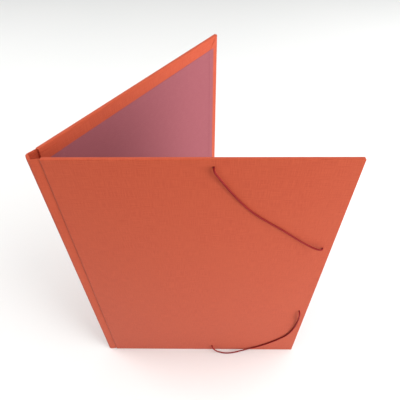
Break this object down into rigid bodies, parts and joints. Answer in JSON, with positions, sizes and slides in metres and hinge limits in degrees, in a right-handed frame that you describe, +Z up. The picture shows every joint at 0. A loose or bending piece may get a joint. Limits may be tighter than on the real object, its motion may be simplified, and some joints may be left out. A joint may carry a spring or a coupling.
{
  "type": "elastic folder",
  "caption": "Hard-cover A4 folder in bookcloth, standing open as a V on a narrow hinged spine, with a slack round elastic cord across each fore-edge corner of its front cover.",
  "frame": {"origin": "foot of the spine, at the middle of its width and thickness, on the surface that the folder stands on", "axes": "+Z up along the spine, +X from the spine into the opening along the V's middle plane, +Y towards the back cover's side"},
  "size_m": [0.2075, 0.2183, 0.32],
  "materials": {
    "bookcloth": "orange-red bookcloth, fine weave, matt",
    "lining_paper": "mauve paper, matt",
    "board": "greyboard, raw",
    "elastic": "dark red braided elastic cord"
  },
  "bodies": {
    "spine": {"spine_board": "board", "spine_cloth": "bookcloth", "spine_inner_hinge": "bookcloth"},
    "front_cover": {"front_board": "board", "front_cover_cloth": "bookcloth", "front_inner_hinge": "bookcloth", "front_lining": "lining_paper", "upper_elastic": "elastic", "lower_elastic": "elastic"},
    "back_cover": {"back_board": "board", "back_cover_cloth": "bookcloth", "back_inner_hinge": "bookcloth", "back_lining": "lining_paper"}
  },
  "joints": [
    {"name": "front_hinge", "type": "hinge", "parent": "spine", "child": "front_cover", "pos_m": [0, -0.00325, 0.16], "axis": [0, 0, -1], "range_deg": [-27.2, 62.8]},
    {"name": "back_hinge", "type": "hinge", "parent": "spine", "child": "back_cover", "pos_m": [0, 0.00325, 0.16], "axis": [0, 0, 1], "range_deg": [-27.2, 62.8]}
  ]
}
